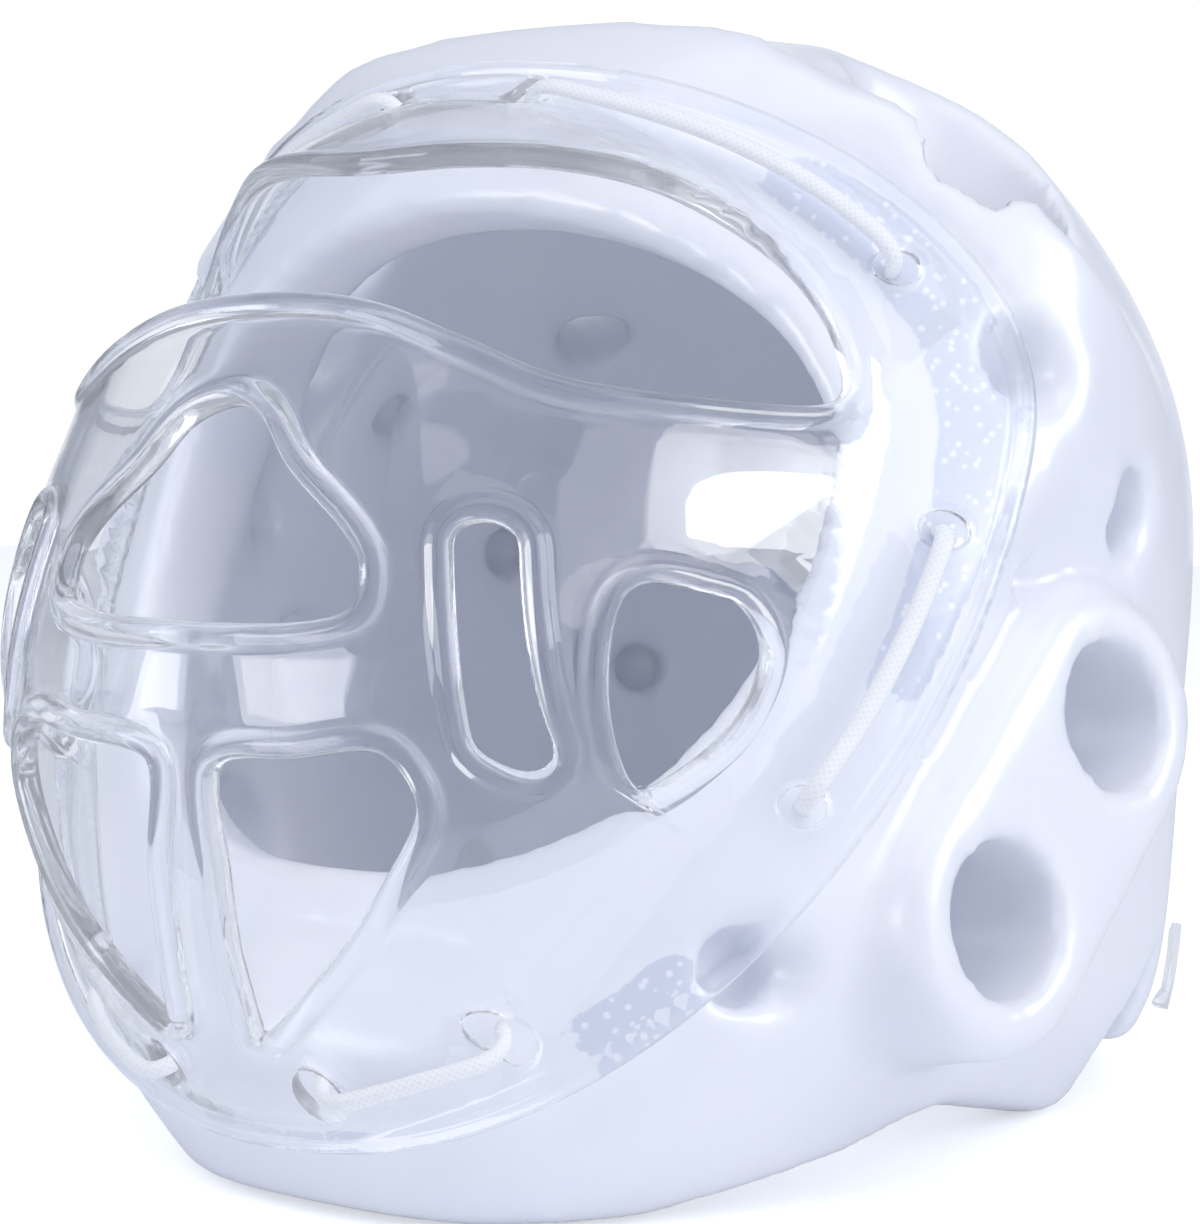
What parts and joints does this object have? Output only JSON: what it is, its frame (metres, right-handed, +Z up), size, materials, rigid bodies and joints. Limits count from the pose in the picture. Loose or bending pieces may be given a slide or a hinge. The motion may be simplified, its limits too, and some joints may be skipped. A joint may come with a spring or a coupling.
{
  "type": "head guard with face mask",
  "caption": "Padded sparring head guard of white dipped foam, with ear pads, vents and a clear face mask tied round its front.",
  "frame": {"origin": "middle of the guard's box, on the surface it rests on", "axes": "+Z up, -Y the way the face looks, +X the wearer's left; the guard leans back as it lies at rest"},
  "size_m": [0.2396, 0.293, 0.2225],
  "materials": {
    "white_foam": "smooth dipped skin with a soft gloss over foam",
    "clear_plastic": "polished clear moulded plastic",
    "white_cord": "white braided cord"
  },
  "bodies": {
    "root": {"foam_shell": "white_foam", "ear_pad_left": "white_foam", "ear_pad_right": "white_foam", "face_mask": "clear_plastic", "clear_tab_left": "clear_plastic", "clear_tab_right": "clear_plastic", "brow_tie_left": "white_cord", "brow_tie_right": "white_cord", "cheek_tie_left": "white_cord", "cheek_tie_right": "white_cord", "chin_tie_left": "white_cord", "chin_tie_right": "white_cord"}
  },
  "joints": []
}
